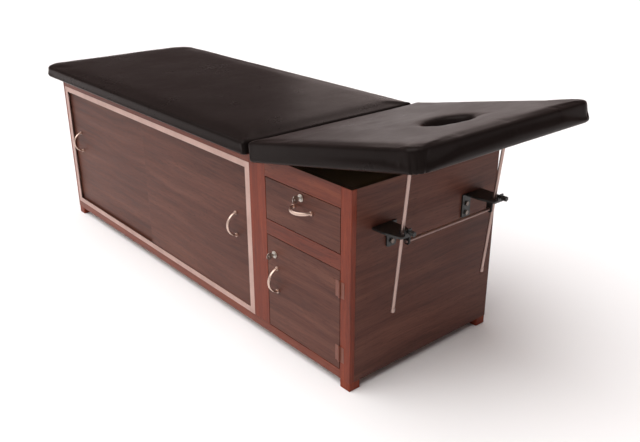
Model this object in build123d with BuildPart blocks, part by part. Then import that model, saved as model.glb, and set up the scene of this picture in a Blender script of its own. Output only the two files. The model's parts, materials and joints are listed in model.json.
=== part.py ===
from build123d import *
from math import cos, radians, sin
import os

# Cabinet-type medical examination couch.
# Frame: +X towards the head end, the doors face -Y, +Z up, origin on the floor under the middle.
# All sizes are in millimetres and degrees.

# Cabinet
CABINET_LENGTH = 1830.0
CABINET_WIDTH = 610.0
CABINET_BOTTOM = 28.0
CABINET_TOP = 622.0
FOOT_FACE = -1007.56
HEAD_FACE = FOOT_FACE + CABINET_LENGTH
FRONT_FACE = -CABINET_WIDTH / 2
BACK_FACE = CABINET_WIDTH / 2
PANEL = 18.0
BACK_PANEL = 9.0
INNER_FRONT = FRONT_FACE + PANEL
INNER_BACK = BACK_FACE - BACK_PANEL
INNER_BOTTOM = CABINET_BOTTOM + PANEL
INNER_TOP = CABINET_TOP - PANEL

# Face frame, as distances from the foot face and heights above the floor
FOOT_STILE_WIDTH = 12.0
MIDDLE_STILE = (FOOT_FACE + 1370.0, FOOT_FACE + 1450.0)
HEAD_STILE = (FOOT_FACE + 1788.0, HEAD_FACE)
BOTTOM_RAIL_TOP = 57.0
TOP_RAIL_BOTTOM = 581.0
DRAWER_RAIL_BOTTOM = 560.0
MIDDLE_RAIL = (376.0, 424.0)
STORAGE_SHELF_BOTTOM = 300.0
STORAGE_SHELF_FRONT = FRONT_FACE + 70.0

# Block feet, flush with the cabinet's corners
BLOCK_FOOT = 42.0
BLOCK_FOOT_SIDE_ROUND = 4.0
BLOCK_FOOT_SOLE_ROUND = 2.5

# Sliding doors and their aluminium frame
TRACK_START = FOOT_FACE + FOOT_STILE_WIDTH
TRACK_END = MIDDLE_STILE[0]
TRACK_FACE = 20.0
JAMB_FACE = 23.5
TRACK_BASE = 2.0
FRONT_FLANGE = 2.0
INNER_FLANGE = 1.2
GROOVE_FLANGE_HEIGHT = 12.0
DOOR_THICKNESS = 5.5
DOOR_PLAY = 0.5
DOOR_OVERLAP = 16.0
DOOR_END_PLAY = 1.0
DOOR_EDGE_ROUND = 0.8
GLIDE_HEIGHT = 3.0
GLIDE_LENGTH = 30.0
GLIDE_WIDTH = 4.5
GLIDE_INSET = 60.0
GLIDE_PLAY = 0.2

# Drawer and cupboard
FRONT_GAP = 2.0
SIDE_THICKNESS = 12.0
DRAWER_DEPTH = 490.0
DRAWER_SIDE_HEIGHT = 118.0
DRAWER_SIDE_PLAY = 1.0
DRAWER_BOTTOM_THICKNESS = 6.0
DRAWER_BOTTOM_LIFT = 6.0
RUNNER_TOP = 425.0
RUNNER_PLAY = 0.5
RUNNER_GUIDE_HEIGHT = 50.0
RUNNER_LENGTH = 530.0
FRONT_EDGE_ROUND = 1.2

# Butt hinges of the cupboard door
DOOR_HINGE_X = HEAD_STILE[0] - FRONT_GAP / 2
DOOR_HINGE_Y = FRONT_FACE - 3.2
DOOR_HINGE_HEIGHTS = (110.0, 318.0)
DOOR_HINGE_LENGTH = 50.0
DOOR_KNUCKLE_RADIUS = 3.0
DOOR_KNUCKLE_PLAY = 0.3
DOOR_KNUCKLE_ROOT = 4.0
DOOR_KNUCKLE_ROOT_DEPTH = 2.2
DOOR_LEAF_START = 2.2
DOOR_LEAF_WIDTH = 16.0
DOOR_LEAF = 0.8
DOOR_PIN_RADIUS = 1.5

# Bow handles, with each one's place as a distance from the foot face and a height
FRONT_DOOR_HANDLE = (1283.0, 352.0)
REAR_DOOR_HANDLE = (100.0, 352.0)
DRAWER_HANDLE = (1627.0, 507.0)
CUPBOARD_HANDLE = (1500.0, 236.0)
HANDLE_SPAN = 78.0
HANDLE_RISE = 38.0
HANDLE_HALF_WIDTH = 5.2
HANDLE_HALF_THICKNESS = 3.2
HANDLE_BOSS_RADIUS = 6.5
HANDLE_BOSS_HEIGHT = 4.0
HANDLE_BOSS_OVERLAP = 1.0

# Cam locks with keys, with each lock's axis as an X and a height
DRAWER_LOCK = (FOOT_FACE + 1619.0, 540.0)
CUPBOARD_LOCK = (FOOT_FACE + 1488.0, 317.0)
LOCK_BARREL_RADIUS = 9.0
LOCK_FLANGE_RADIUS = 11.5
LOCK_FLANGE = 2.5
LOCK_FLANGE_ROUND = 0.8
LOCK_DEPTH = 22.0
LOCK_CORE_RADIUS = 6.0
LOCK_CORE_SHOULDER = 0.5
LOCK_CLEARANCE = 0.08
CAM_LENGTH = 53.0
CAM_WIDTH = 14.0
CAM_THICKNESS = 2.5
CAM_GAP = 1.0
CAM_MORTISE_DEPTH = 15.0
CAM_MORTISE_BELOW = 32.0
CAM_MORTISE_ABOVE = 10.0
CAM_MORTISE_INSET = 12.0
KEY_BOW_RADIUS = 11.0
KEY_RING_RADIUS = 2.6
KEY_RING_OFFSET = 5.0
KEY_THICKNESS = 2.4
KEY_WIDTH = 7.0
KEY_REACH = 27.0
KEY_DEPTH = 8.0
KEYWAY_PLAY = 0.2

# Pads
PAD_SIDE_OVERHANG = 52.0
PAD_FOOT_OVERHANG = 87.0
PAD_HALF_WIDTH = CABINET_WIDTH / 2 + PAD_SIDE_OVERHANG
PAD_TOP = 672.0
PAD_TOP_ROUND = 24.0
PAD_BOTTOM_ROUND = 20.0
PAD_BOARD = 18.0
BOARD_INSET = 35.0
BOARD_HINGE_INSET = 26.0
FOOT_CORNER = 88.0
HEAD_CORNER = 44.0
JOINT_CORNER = 16.0
PAD_SETBACK = 5.0

# Head section, tilted about the hinge pins
TILT = 11.6
HINGE_X = FOOT_FACE + 1426.5
HINGE_Z = CABINET_TOP + PAD_BOARD + 1.0
HEAD_REACH = 686.0
HEAD_REST_GAP = 0.8
HEAD_UNDERSIDE = CABINET_TOP - HINGE_Z + HEAD_REST_GAP
HEAD_BOARD_TOP = -1.0
HEAD_SKIRT_BOTTOM = -36.0
FACE_HOLE_CENTRE = 466.0
FACE_HOLE_HALF_LENGTH = 62.0
FACE_HOLE_HALF_WIDTH = 80.0
FACE_HOLE_ROUND = 8.0
FACE_HOLE_BOARD_MARGIN = 6.0
HINGE_OFFSETS = (-240.0, 0.0, 240.0)
HINGE_WIDTH = 90.0
HINGE_LEAF = 45.0
HINGE_LEAF_THICKNESS = 2.0
HINGE_LEAF_START = 5.5
KNUCKLE_RADIUS = 4.5
KNUCKLE_PLAY = 0.3
KNUCKLE_ROOT = 6.5
PIN_RADIUS = 2.5
PIN_CLEARANCE = 0.06

# Head prop: rods, lugs, guide brackets and thumb screws
ROD_SPREAD = 194.0
ROD_RADIUS = 5.0
ROD_LEAN = 5.6
ROD_END_HEIGHT = 247.0
PIVOT_REACH = 503.3
PIVOT_DROP = 40.4
PIVOT_RADIUS = 4.0
PIVOT_HEAD_RADIUS = 6.0
PIVOT_HEAD = 2.0
EYE_RADIUS = 9.0
EYE_HALF_WIDTH = 6.0
EYE_PLAY = 1.0
LUG_PLATE = 3.0
LUG_BASE = (46.0, 44.0)
LUG_BASE_ROUND = 5.0
FERRULE_LENGTH = 14.0
FERRULE_RADIUS = 6.2
FERRULE_ROUND = 2.5
BRACKET_TOP = 498.0
BRACKET_PLATE = 6.0
BRACKET_REACH = 100.0
BRACKET_ROOT_WIDTH = 74.0
BRACKET_TIP_WIDTH = 52.0
BRACKET_TIP_ROUND = 7.0
BRACKET_TAPER_START = 50.0
BRACKET_LEG = 5.0
LEG_CENTRE = 158.0
LEG_WIDTH = 36.0
LEG_BOTTOM = 424.0
LEG_ROUND = 6.0
HANGER_THICKNESS = 4.0
HANGER_START = 67.0
HANGER_END = 88.0
HANGER_CHAMFER = 5.0
HANGER_BELOW_BAR = 9.5
SCREW_LUG = 4.0
SCREW_LUG_WIDTH = 24.0
SCREW_LUG_TOP = BRACKET_TOP + 17.0
SCREW_HOLE_HEIGHTS = (440.0, 469.0)
SHANK_RADIUS = 3.0
SHANK_LENGTH = 15.0
SHANK_HEAD_RADIUS = 7.5
SHANK_HEAD = 5.0
ROD_SLOT_CENTRE = 78.0
ROD_SLOT_LENGTH = 20.0
ROD_SLOT_WIDTH = 12.0
TIE_BAR_OUT = 77.5
TIE_BAR_HEIGHT = 468.0
TIE_BAR_RADIUS = 5.0
TIE_BAR_STUB = 3.0
TIE_BAR_ROUND = 1.0
SCREW_HEIGHT = BRACKET_TOP + 9.0
SCREW_RADIUS = 3.0
SCREW_TIP_OUT = 87.3
COLLAR_GAP = 0.4
COLLAR_RADIUS = 4.8
KNOB_START_OUT = 108.0
KNOB_RADIUS = 7.5
KNOB_LENGTH = 14.0
KNOB_ROUND = 1.2
FLUTE_RADIUS = 2.4
FLUTE_COUNT = 6

os.makedirs("parts", exist_ok=True)


def finish(piece, name):
    """Label a finished piece and write its STEP file."""
    piece.part.label = name
    export_step(piece.part, f"parts/{name}.step")


def block(x_span, y_span, z_span, edge_round=0.0):
    """A rectangular board between the given limits, its long edges optionally eased."""
    with BuildPart() as piece:
        with BuildSketch(Plane.XY.offset(z_span[0])):
            with Locations(((x_span[0] + x_span[1]) / 2, (y_span[0] + y_span[1]) / 2)):
                Rectangle(x_span[1] - x_span[0], y_span[1] - y_span[0])
        extrude(amount=z_span[1] - z_span[0])
        if edge_round:
            front = piece.faces().sort_by(Axis.Y)[0]
            fillet(front.edges(), radius=edge_round)
    return piece


# ---------------------------------------------------------------- cabinet shell

side_panel_depth = (INNER_FRONT, INNER_BACK)
inner_length = (FOOT_FACE + PANEL, HEAD_FACE - PANEL)
full_height = (CABINET_BOTTOM, CABINET_TOP)
partition = (MIDDLE_STILE[1] - PANEL, MIDDLE_STILE[1])

foot_end_panel = block((FOOT_FACE, FOOT_FACE + PANEL), side_panel_depth, full_height)
finish(foot_end_panel, "foot_end_panel")

screw_places = [(side * LEG_CENTRE, height) for side in (-1, 1) for height in SCREW_HOLE_HEIGHTS]
with BuildPart() as head_end_panel:
    with BuildSketch(Plane.YZ.offset(HEAD_FACE)):
        with Locations(((INNER_FRONT + INNER_BACK) / 2, (CABINET_BOTTOM + CABINET_TOP) / 2)):
            Rectangle(INNER_BACK - INNER_FRONT, CABINET_TOP - CABINET_BOTTOM)
    extrude(amount=-PANEL)
    with BuildSketch(Plane.YZ.offset(HEAD_FACE)):
        with Locations(*screw_places):
            Circle(SHANK_RADIUS)
    extrude(amount=-SHANK_LENGTH, mode=Mode.SUBTRACT)
finish(head_end_panel, "head_end_panel")

back_panel = block((FOOT_FACE, HEAD_FACE), (INNER_BACK, BACK_FACE), full_height)
finish(back_panel, "back_panel")

base_panel = block(inner_length, side_panel_depth, (CABINET_BOTTOM, INNER_BOTTOM))
finish(base_panel, "base_panel")

top_deck = block(inner_length, side_panel_depth, (INNER_TOP, CABINET_TOP))
finish(top_deck, "top_deck")

storage_shelf = block(
    (FOOT_FACE + PANEL, partition[0]),
    (STORAGE_SHELF_FRONT, INNER_BACK),
    (STORAGE_SHELF_BOTTOM, STORAGE_SHELF_BOTTOM + PANEL),
)
finish(storage_shelf, "storage_shelf")

drawer_shelf_middle = (MIDDLE_RAIL[0] + MIDDLE_RAIL[1]) / 2
drawer_shelf_span = (drawer_shelf_middle - PANEL / 2, drawer_shelf_middle + PANEL / 2)
drawer_shelf = block((partition[1], HEAD_FACE - PANEL), side_panel_depth, drawer_shelf_span)
finish(drawer_shelf, "drawer_shelf")

# ---------------------------------------------------------------- face frame

frame_depth = (FRONT_FACE, INNER_FRONT)

foot_stile = block((FOOT_FACE, TRACK_START), frame_depth, full_height)
finish(foot_stile, "foot_stile")

middle_stile = block(MIDDLE_STILE, frame_depth, (BOTTOM_RAIL_TOP, CABINET_TOP))
finish(middle_stile, "middle_stile")

head_stile = block(HEAD_STILE, frame_depth, full_height)
finish(head_stile, "head_stile")

bottom_rail = block((TRACK_START, HEAD_STILE[0]), frame_depth, (CABINET_BOTTOM, BOTTOM_RAIL_TOP))
finish(bottom_rail, "bottom_rail")

top_rail = block((TRACK_START, MIDDLE_STILE[0]), frame_depth, (TOP_RAIL_BOTTOM, CABINET_TOP))
finish(top_rail, "top_rail")

bay_width = (MIDDLE_STILE[1], HEAD_STILE[0])
drawer_top_rail = block(bay_width, frame_depth, (DRAWER_RAIL_BOTTOM, CABINET_TOP))
finish(drawer_top_rail, "drawer_top_rail")

drawer_bottom_rail = block(bay_width, frame_depth, MIDDLE_RAIL)
finish(drawer_bottom_rail, "drawer_bottom_rail")

# ---------------------------------------------------------------- block feet

with BuildPart() as block_feet:
    with BuildSketch():
        for foot_x in (FOOT_FACE + BLOCK_FOOT / 2, HEAD_FACE - BLOCK_FOOT / 2):
            for foot_y in (FRONT_FACE + BLOCK_FOOT / 2, BACK_FACE - BLOCK_FOOT / 2):
                with Locations((foot_x, foot_y)):
                    RectangleRounded(BLOCK_FOOT, BLOCK_FOOT, BLOCK_FOOT_SIDE_ROUND)
    extrude(amount=CABINET_BOTTOM)
    fillet(block_feet.faces().group_by(Axis.Z)[0].edges(), radius=BLOCK_FOOT_SOLE_ROUND)
finish(block_feet, "block_feet")

# ---------------------------------------------------------------- handles and locks


def bow_handle(centre, along):
    """An arched pull standing out towards -Y, with its length along the given direction."""
    outward = Vector(0, -1, 0)
    handle_plane = Plane(origin=centre, x_dir=along, z_dir=Vector(along).cross(outward))
    half = HANDLE_SPAN / 2
    lift = HANDLE_BOSS_HEIGHT - HANDLE_BOSS_OVERLAP
    with BuildPart() as handle:
        with BuildLine(handle_plane) as bow:
            ThreePointArc((-half, lift), (0, HANDLE_RISE - HANDLE_HALF_THICKNESS), (half, lift))
        with BuildSketch(Plane(origin=bow.line @ 0, x_dir=handle_plane.z_dir, z_dir=bow.line % 0)):
            Ellipse(HANDLE_HALF_WIDTH, HANDLE_HALF_THICKNESS)
        sweep()
        boss_plane = Plane(origin=centre, x_dir=along, z_dir=outward)
        with BuildSketch(boss_plane):
            with Locations((-half, 0), (half, 0)):
                Circle(HANDLE_BOSS_RADIUS)
        extrude(amount=HANDLE_BOSS_HEIGHT)
    return handle


def handle_place(place, face_y):
    """The middle of a handle's foot line on a face, from its place on the cabinet's front."""
    return (FOOT_FACE + place[0], face_y, place[1])


def facing_plane(x, y, z):
    """A plane on a front face: local x along +X, local y up, local z out towards -Y."""
    return Plane(origin=(x, y, z), x_dir=(1, 0, 0), z_dir=(0, -1, 0))


def lock_body(x, z):
    """The fixed barrel of a cam lock, flanged on the front face."""
    with BuildPart() as body:
        with BuildSketch(facing_plane(x, FRONT_FACE, z)):
            Circle(LOCK_FLANGE_RADIUS)
        extrude(amount=LOCK_FLANGE)
        fillet(body.faces().sort_by(Axis.Y)[0].edges(), radius=LOCK_FLANGE_ROUND)
        with BuildSketch(facing_plane(x, FRONT_FACE, z)):
            Circle(LOCK_BARREL_RADIUS)
        extrude(amount=-LOCK_DEPTH)
        with BuildSketch(facing_plane(x, FRONT_FACE - LOCK_FLANGE, z)):
            Circle(LOCK_CORE_RADIUS + LOCK_CLEARANCE)
        extrude(amount=-(LOCK_DEPTH + LOCK_FLANGE), mode=Mode.SUBTRACT)
    return body


def lock_core(x, z, cam_direction):
    """The turning core of a cam lock with its keyway and its cam, at rest with the cam unlocked."""
    core_face = FRONT_FACE - LOCK_FLANGE - LOCK_CORE_SHOULDER
    cam_front = FRONT_FACE + LOCK_DEPTH + CAM_GAP
    with BuildPart() as core:
        with BuildSketch(facing_plane(x, core_face, z)):
            Circle(LOCK_CORE_RADIUS)
        extrude(amount=core_face - cam_front)
        cam_plane = Plane(origin=(x, cam_front, z), x_dir=cam_direction, z_dir=(0, -1, 0))
        with BuildSketch(cam_plane):
            with Locations(((CAM_LENGTH - CAM_WIDTH) / 2, 0)):
                SlotOverall(CAM_LENGTH, CAM_WIDTH)
        extrude(amount=-CAM_THICKNESS)
        with BuildSketch(facing_plane(x, core_face, z)):
            Rectangle(KEY_THICKNESS + KEYWAY_PLAY, KEY_WIDTH + KEYWAY_PLAY)
        extrude(amount=-KEY_DEPTH, mode=Mode.SUBTRACT)
    return core


def lock_key(x, z):
    """A flat key standing in the core, its round bow outside the face."""
    core_face = FRONT_FACE - LOCK_FLANGE - LOCK_CORE_SHOULDER
    blade_plane = Plane(origin=(x - KEY_THICKNESS / 2, core_face, z), x_dir=(0, -1, 0), z_dir=(1, 0, 0))
    bow_centre = KEY_REACH - KEY_BOW_RADIUS
    with BuildPart() as key:
        with BuildSketch(blade_plane):
            with Locations(((bow_centre - KEY_DEPTH) / 2, 0)):
                Rectangle(bow_centre + KEY_DEPTH, KEY_WIDTH)
            with Locations((bow_centre, 0)):
                Circle(KEY_BOW_RADIUS)
            with Locations((bow_centre + KEY_RING_OFFSET, 0)):
                Circle(KEY_RING_RADIUS, mode=Mode.SUBTRACT)
        extrude(amount=KEY_THICKNESS)
    return key


# ---------------------------------------------------------------- sliding doors

front_door_face = FRONT_FACE + FRONT_FLANGE + DOOR_PLAY
front_door_back = front_door_face + DOOR_THICKNESS
middle_flange = (front_door_back + DOOR_PLAY, front_door_back + DOOR_PLAY + INNER_FLANGE)
rear_door_face = middle_flange[1] + DOOR_PLAY
rear_door_back = rear_door_face + DOOR_THICKNESS
back_flange = (rear_door_back + DOOR_PLAY, rear_door_back + DOOR_PLAY + INNER_FLANGE)
flanges = ((FRONT_FACE, FRONT_FACE + FRONT_FLANGE), middle_flange, back_flange)


def track(base_height, direction):
    """A double-groove channel along X: base plate at base_height, flanges up (+1) or down (-1)."""
    with BuildPart() as channel:
        with BuildSketch(Plane(origin=(TRACK_START, 0, base_height), x_dir=(0, 1, 0), z_dir=(1, 0, 0))):
            with BuildLine():
                top = direction * TRACK_FACE
                inner = direction * GROOVE_FLANGE_HEIGHT
                base = direction * TRACK_BASE
                Polyline(
                    (flanges[0][0], 0),
                    (flanges[0][0], top),
                    (flanges[0][1], top),
                    (flanges[0][1], base),
                    (flanges[1][0], base),
                    (flanges[1][0], inner),
                    (flanges[1][1], inner),
                    (flanges[1][1], base),
                    (flanges[2][0], base),
                    (flanges[2][0], inner),
                    (flanges[2][1], inner),
                    (flanges[2][1], 0),
                    close=True,
                )
            make_face()
        extrude(amount=TRACK_END - TRACK_START)
    return channel


door_track_bottom = track(BOTTOM_RAIL_TOP, 1)
finish(door_track_bottom, "door_track_bottom")

door_track_top = track(TOP_RAIL_BOTTOM, -1)
finish(door_track_top, "door_track_top")


def jamb(base_x, direction):
    """The upright channel at one end of the tracks, closed on the stile side."""
    bottom = BOTTOM_RAIL_TOP + TRACK_FACE
    top = TOP_RAIL_BOTTOM - TRACK_FACE
    with BuildPart() as channel:
        with BuildSketch(Plane.XY.offset(bottom)):
            with BuildLine():
                face = base_x + direction * JAMB_FACE
                inner = base_x + direction * GROOVE_FLANGE_HEIGHT
                base = base_x + direction * TRACK_BASE
                Polyline(
                    (base_x, flanges[0][0]),
                    (face, flanges[0][0]),
                    (face, flanges[0][1]),
                    (base, flanges[0][1]),
                    (base, flanges[1][0]),
                    (inner, flanges[1][0]),
                    (inner, flanges[1][1]),
                    (base, flanges[1][1]),
                    (base, flanges[2][0]),
                    (inner, flanges[2][0]),
                    (inner, flanges[2][1]),
                    (base_x, flanges[2][1]),
                    close=True,
                )
            make_face()
        extrude(amount=top - bottom)
    return channel


door_jamb_foot = jamb(TRACK_START, 1)
finish(door_jamb_foot, "door_jamb_foot")

door_jamb_head = jamb(TRACK_END, -1)
finish(door_jamb_head, "door_jamb_head")

door_left_limit = TRACK_START + TRACK_BASE + DOOR_END_PLAY
door_right_limit = TRACK_END - TRACK_BASE - DOOR_END_PLAY
door_width = (door_right_limit - door_left_limit + DOOR_OVERLAP) / 2
door_bottom = BOTTOM_RAIL_TOP + TRACK_BASE + GLIDE_HEIGHT + GLIDE_PLAY
door_top = TOP_RAIL_BOTTOM - TRACK_BASE - GLIDE_HEIGHT - GLIDE_PLAY
door_height = (door_bottom, door_top)

front_sliding_door = block(
    (door_right_limit - door_width, door_right_limit),
    (front_door_face, front_door_back),
    door_height,
    edge_round=DOOR_EDGE_ROUND,
)
finish(front_sliding_door, "front_sliding_door")

rear_sliding_door = block(
    (door_left_limit, door_left_limit + door_width),
    (rear_door_face, rear_door_back),
    door_height,
    edge_round=DOOR_EDGE_ROUND,
)
finish(rear_sliding_door, "rear_sliding_door")


def door_glides(door_start, door_y):
    """Four nylon glides on the top and bottom edges of a sliding door."""
    with BuildPart() as glides:
        for glide_bottom in (door_bottom - GLIDE_HEIGHT, door_top):
            with BuildSketch(Plane.XY.offset(glide_bottom)):
                near = door_start + GLIDE_INSET
                far = door_start + door_width - GLIDE_INSET
                with Locations((near, door_y), (far, door_y)):
                    SlotOverall(GLIDE_LENGTH, GLIDE_WIDTH)
            extrude(amount=GLIDE_HEIGHT)
    return glides


front_door_glides = door_glides(door_right_limit - door_width, (front_door_face + front_door_back) / 2)
finish(front_door_glides, "front_door_glides")

rear_door_glides = door_glides(door_left_limit, (rear_door_face + rear_door_back) / 2)
finish(rear_door_glides, "rear_door_glides")

front_door_handle = bow_handle(handle_place(FRONT_DOOR_HANDLE, front_door_face), (0, 0, 1))
finish(front_door_handle, "front_door_handle")

rear_door_handle = bow_handle(handle_place(REAR_DOOR_HANDLE, rear_door_face), (0, 0, 1))
finish(rear_door_handle, "rear_door_handle")

# ---------------------------------------------------------------- drawer

front_width = (bay_width[0] + FRONT_GAP, bay_width[1] - FRONT_GAP)
drawer_front_height = (MIDDLE_RAIL[1] + FRONT_GAP, DRAWER_RAIL_BOTTOM - FRONT_GAP)
box_width = (bay_width[0] + DRAWER_SIDE_PLAY, bay_width[1] - DRAWER_SIDE_PLAY)
box_bottom = RUNNER_TOP + RUNNER_PLAY
box_height = (box_bottom, box_bottom + DRAWER_SIDE_HEIGHT)
box_depth = (INNER_FRONT, INNER_FRONT + DRAWER_DEPTH)


def lockable_front(x_span, z_span, lock):
    """A thick front panel with eased face edges and a round hole for its cam lock."""
    with BuildPart() as panel:
        with BuildSketch(facing_plane(0, FRONT_FACE, 0)):
            with Locations(((x_span[0] + x_span[1]) / 2, (z_span[0] + z_span[1]) / 2)):
                Rectangle(x_span[1] - x_span[0], z_span[1] - z_span[0])
        extrude(amount=-PANEL)
        fillet(panel.faces().sort_by(Axis.Y)[0].edges(), radius=FRONT_EDGE_ROUND)
        with BuildSketch(facing_plane(lock[0], FRONT_FACE, lock[1])):
            Circle(LOCK_BARREL_RADIUS + LOCK_CLEARANCE)
        extrude(amount=-PANEL, mode=Mode.SUBTRACT)
    return panel


drawer_front = lockable_front(front_width, drawer_front_height, DRAWER_LOCK)
finish(drawer_front, "drawer_front")

drawer_foot_side = block((box_width[0], box_width[0] + SIDE_THICKNESS), box_depth, box_height)
finish(drawer_foot_side, "drawer_foot_side")

drawer_head_side = block((box_width[1] - SIDE_THICKNESS, box_width[1]), box_depth, box_height)
finish(drawer_head_side, "drawer_head_side")

box_inner_width = (box_width[0] + SIDE_THICKNESS, box_width[1] - SIDE_THICKNESS)
drawer_back = block(box_inner_width, (box_depth[1] - SIDE_THICKNESS, box_depth[1]), box_height)
finish(drawer_back, "drawer_back")

tray_underside = box_bottom + DRAWER_BOTTOM_LIFT
drawer_bottom = block(
    box_inner_width,
    (box_depth[0], box_depth[1] - SIDE_THICKNESS),
    (tray_underside, tray_underside + DRAWER_BOTTOM_THICKNESS),
)
finish(drawer_bottom, "drawer_bottom")

with BuildPart() as drawer_runners:
    runner_plane = Plane(origin=(0, INNER_FRONT, 0), x_dir=(1, 0, 0), z_dir=(0, -1, 0))
    shelf_top = drawer_shelf_span[1]
    with BuildSketch(runner_plane):
        with Locations((bay_width[0] + SIDE_THICKNESS / 2, (shelf_top + RUNNER_TOP) / 2)):
            Rectangle(SIDE_THICKNESS, RUNNER_TOP - shelf_top)
        with BuildLine():
            guide_top = RUNNER_TOP + RUNNER_GUIDE_HEIGHT
            Polyline(
                (bay_width[1] - SIDE_THICKNESS, shelf_top),
                (bay_width[1] - SIDE_THICKNESS, RUNNER_TOP),
                (bay_width[1], RUNNER_TOP),
                (bay_width[1], guide_top),
                (HEAD_FACE - PANEL, guide_top),
                (HEAD_FACE - PANEL, shelf_top),
                close=True,
            )
        make_face()
    extrude(amount=-RUNNER_LENGTH)
finish(drawer_runners, "drawer_runners")

drawer_handle = bow_handle(handle_place(DRAWER_HANDLE, FRONT_FACE), (1, 0, 0))
finish(drawer_handle, "drawer_handle")

drawer_lock_body = lock_body(*DRAWER_LOCK)
finish(drawer_lock_body, "drawer_lock_body")

drawer_lock_cam = lock_core(*DRAWER_LOCK, cam_direction=(1, 0, 0))
finish(drawer_lock_cam, "drawer_lock_cam")

drawer_key = lock_key(*DRAWER_LOCK)
finish(drawer_key, "drawer_key")

# ---------------------------------------------------------------- cupboard

cupboard_door_height = (BOTTOM_RAIL_TOP + FRONT_GAP, MIDDLE_RAIL[0] - FRONT_GAP)

cupboard_door = lockable_front(front_width, cupboard_door_height, CUPBOARD_LOCK)
finish(cupboard_door, "cupboard_door")

mortise_middle = CUPBOARD_LOCK[1] + (CAM_MORTISE_ABOVE - CAM_MORTISE_BELOW) / 2
with BuildPart() as bay_partition:
    with BuildSketch(Plane.YZ.offset(partition[0])):
        with Locations(((INNER_FRONT + INNER_BACK) / 2, (INNER_BOTTOM + INNER_TOP) / 2)):
            Rectangle(INNER_BACK - INNER_FRONT, INNER_TOP - INNER_BOTTOM)
    extrude(amount=PANEL)
    with BuildSketch(Plane.YZ.offset(partition[1])):
        with Locations((INNER_FRONT + CAM_MORTISE_DEPTH / 2, mortise_middle)):
            Rectangle(CAM_MORTISE_DEPTH, CAM_MORTISE_ABOVE + CAM_MORTISE_BELOW)
    extrude(amount=-CAM_MORTISE_INSET, mode=Mode.SUBTRACT)
finish(bay_partition, "bay_partition")

cupboard_handle = bow_handle(handle_place(CUPBOARD_HANDLE, FRONT_FACE), (0, 0, 1))
finish(cupboard_handle, "cupboard_handle")

cupboard_lock_body = lock_body(*CUPBOARD_LOCK)
finish(cupboard_lock_body, "cupboard_lock_body")

cupboard_lock_cam = lock_core(*CUPBOARD_LOCK, cam_direction=(0, 0, -1))
finish(cupboard_lock_cam, "cupboard_lock_cam")

cupboard_key = lock_key(*CUPBOARD_LOCK)
finish(cupboard_key, "cupboard_key")


def door_leaves(side, knuckle_spans, pinned):
    """Butt hinge leaves on the front faces: side -1 is on the door, +1 on the frame."""
    leaf_middle = DOOR_HINGE_X + side * (DOOR_LEAF_START + DOOR_LEAF_WIDTH / 2)
    root_middle = DOOR_HINGE_X + side * DOOR_KNUCKLE_ROOT / 2
    with BuildPart() as leaves:
        for height in DOOR_HINGE_HEIGHTS:
            lower_end = height - DOOR_HINGE_LENGTH / 2
            with BuildSketch(Plane.XY.offset(lower_end)):
                with Locations((leaf_middle, FRONT_FACE - DOOR_LEAF / 2)):
                    Rectangle(DOOR_LEAF_WIDTH, DOOR_LEAF)
            extrude(amount=DOOR_HINGE_LENGTH)
            for start, end in knuckle_spans:
                with BuildSketch(Plane.XY.offset(height + start)):
                    with Locations((DOOR_HINGE_X, DOOR_HINGE_Y)):
                        Circle(DOOR_KNUCKLE_RADIUS)
                    with Locations((root_middle, FRONT_FACE - DOOR_KNUCKLE_ROOT_DEPTH / 2)):
                        Rectangle(DOOR_KNUCKLE_ROOT, DOOR_KNUCKLE_ROOT_DEPTH)
                extrude(amount=end - start)
            if pinned:
                with BuildSketch(Plane.XY.offset(lower_end)):
                    with Locations((DOOR_HINGE_X, DOOR_HINGE_Y)):
                        Circle(DOOR_PIN_RADIUS)
                extrude(amount=DOOR_HINGE_LENGTH)
            else:
                with BuildSketch(Plane.XY.offset(lower_end)):
                    with Locations((DOOR_HINGE_X, DOOR_HINGE_Y)):
                        Circle(DOOR_PIN_RADIUS + PIN_CLEARANCE)
                extrude(amount=DOOR_HINGE_LENGTH, mode=Mode.SUBTRACT)
    return leaves


outer_thirds = (
    (-DOOR_HINGE_LENGTH / 2, -DOOR_HINGE_LENGTH / 6 - DOOR_KNUCKLE_PLAY),
    (DOOR_HINGE_LENGTH / 6 + DOOR_KNUCKLE_PLAY, DOOR_HINGE_LENGTH / 2),
)
middle_third = ((-DOOR_HINGE_LENGTH / 6, DOOR_HINGE_LENGTH / 6),)

cupboard_hinge_frame_leaves = door_leaves(1, outer_thirds, True)
finish(cupboard_hinge_frame_leaves, "cupboard_hinge_frame_leaves")

cupboard_hinge_door_leaves = door_leaves(-1, middle_third, False)
finish(cupboard_hinge_door_leaves, "cupboard_hinge_door_leaves")

# ---------------------------------------------------------------- main pad

main_start = FOOT_FACE - PAD_FOOT_OVERHANG
main_end = HINGE_X - PAD_SETBACK
board_end = HINGE_X - BOARD_HINGE_INSET
board_half_width = PAD_HALF_WIDTH - BOARD_INSET

main_pad_board = block(
    (main_start + BOARD_INSET, board_end),
    (-board_half_width, board_half_width),
    (CABINET_TOP, CABINET_TOP + PAD_BOARD),
)
finish(main_pad_board, "main_pad_board")

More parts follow.
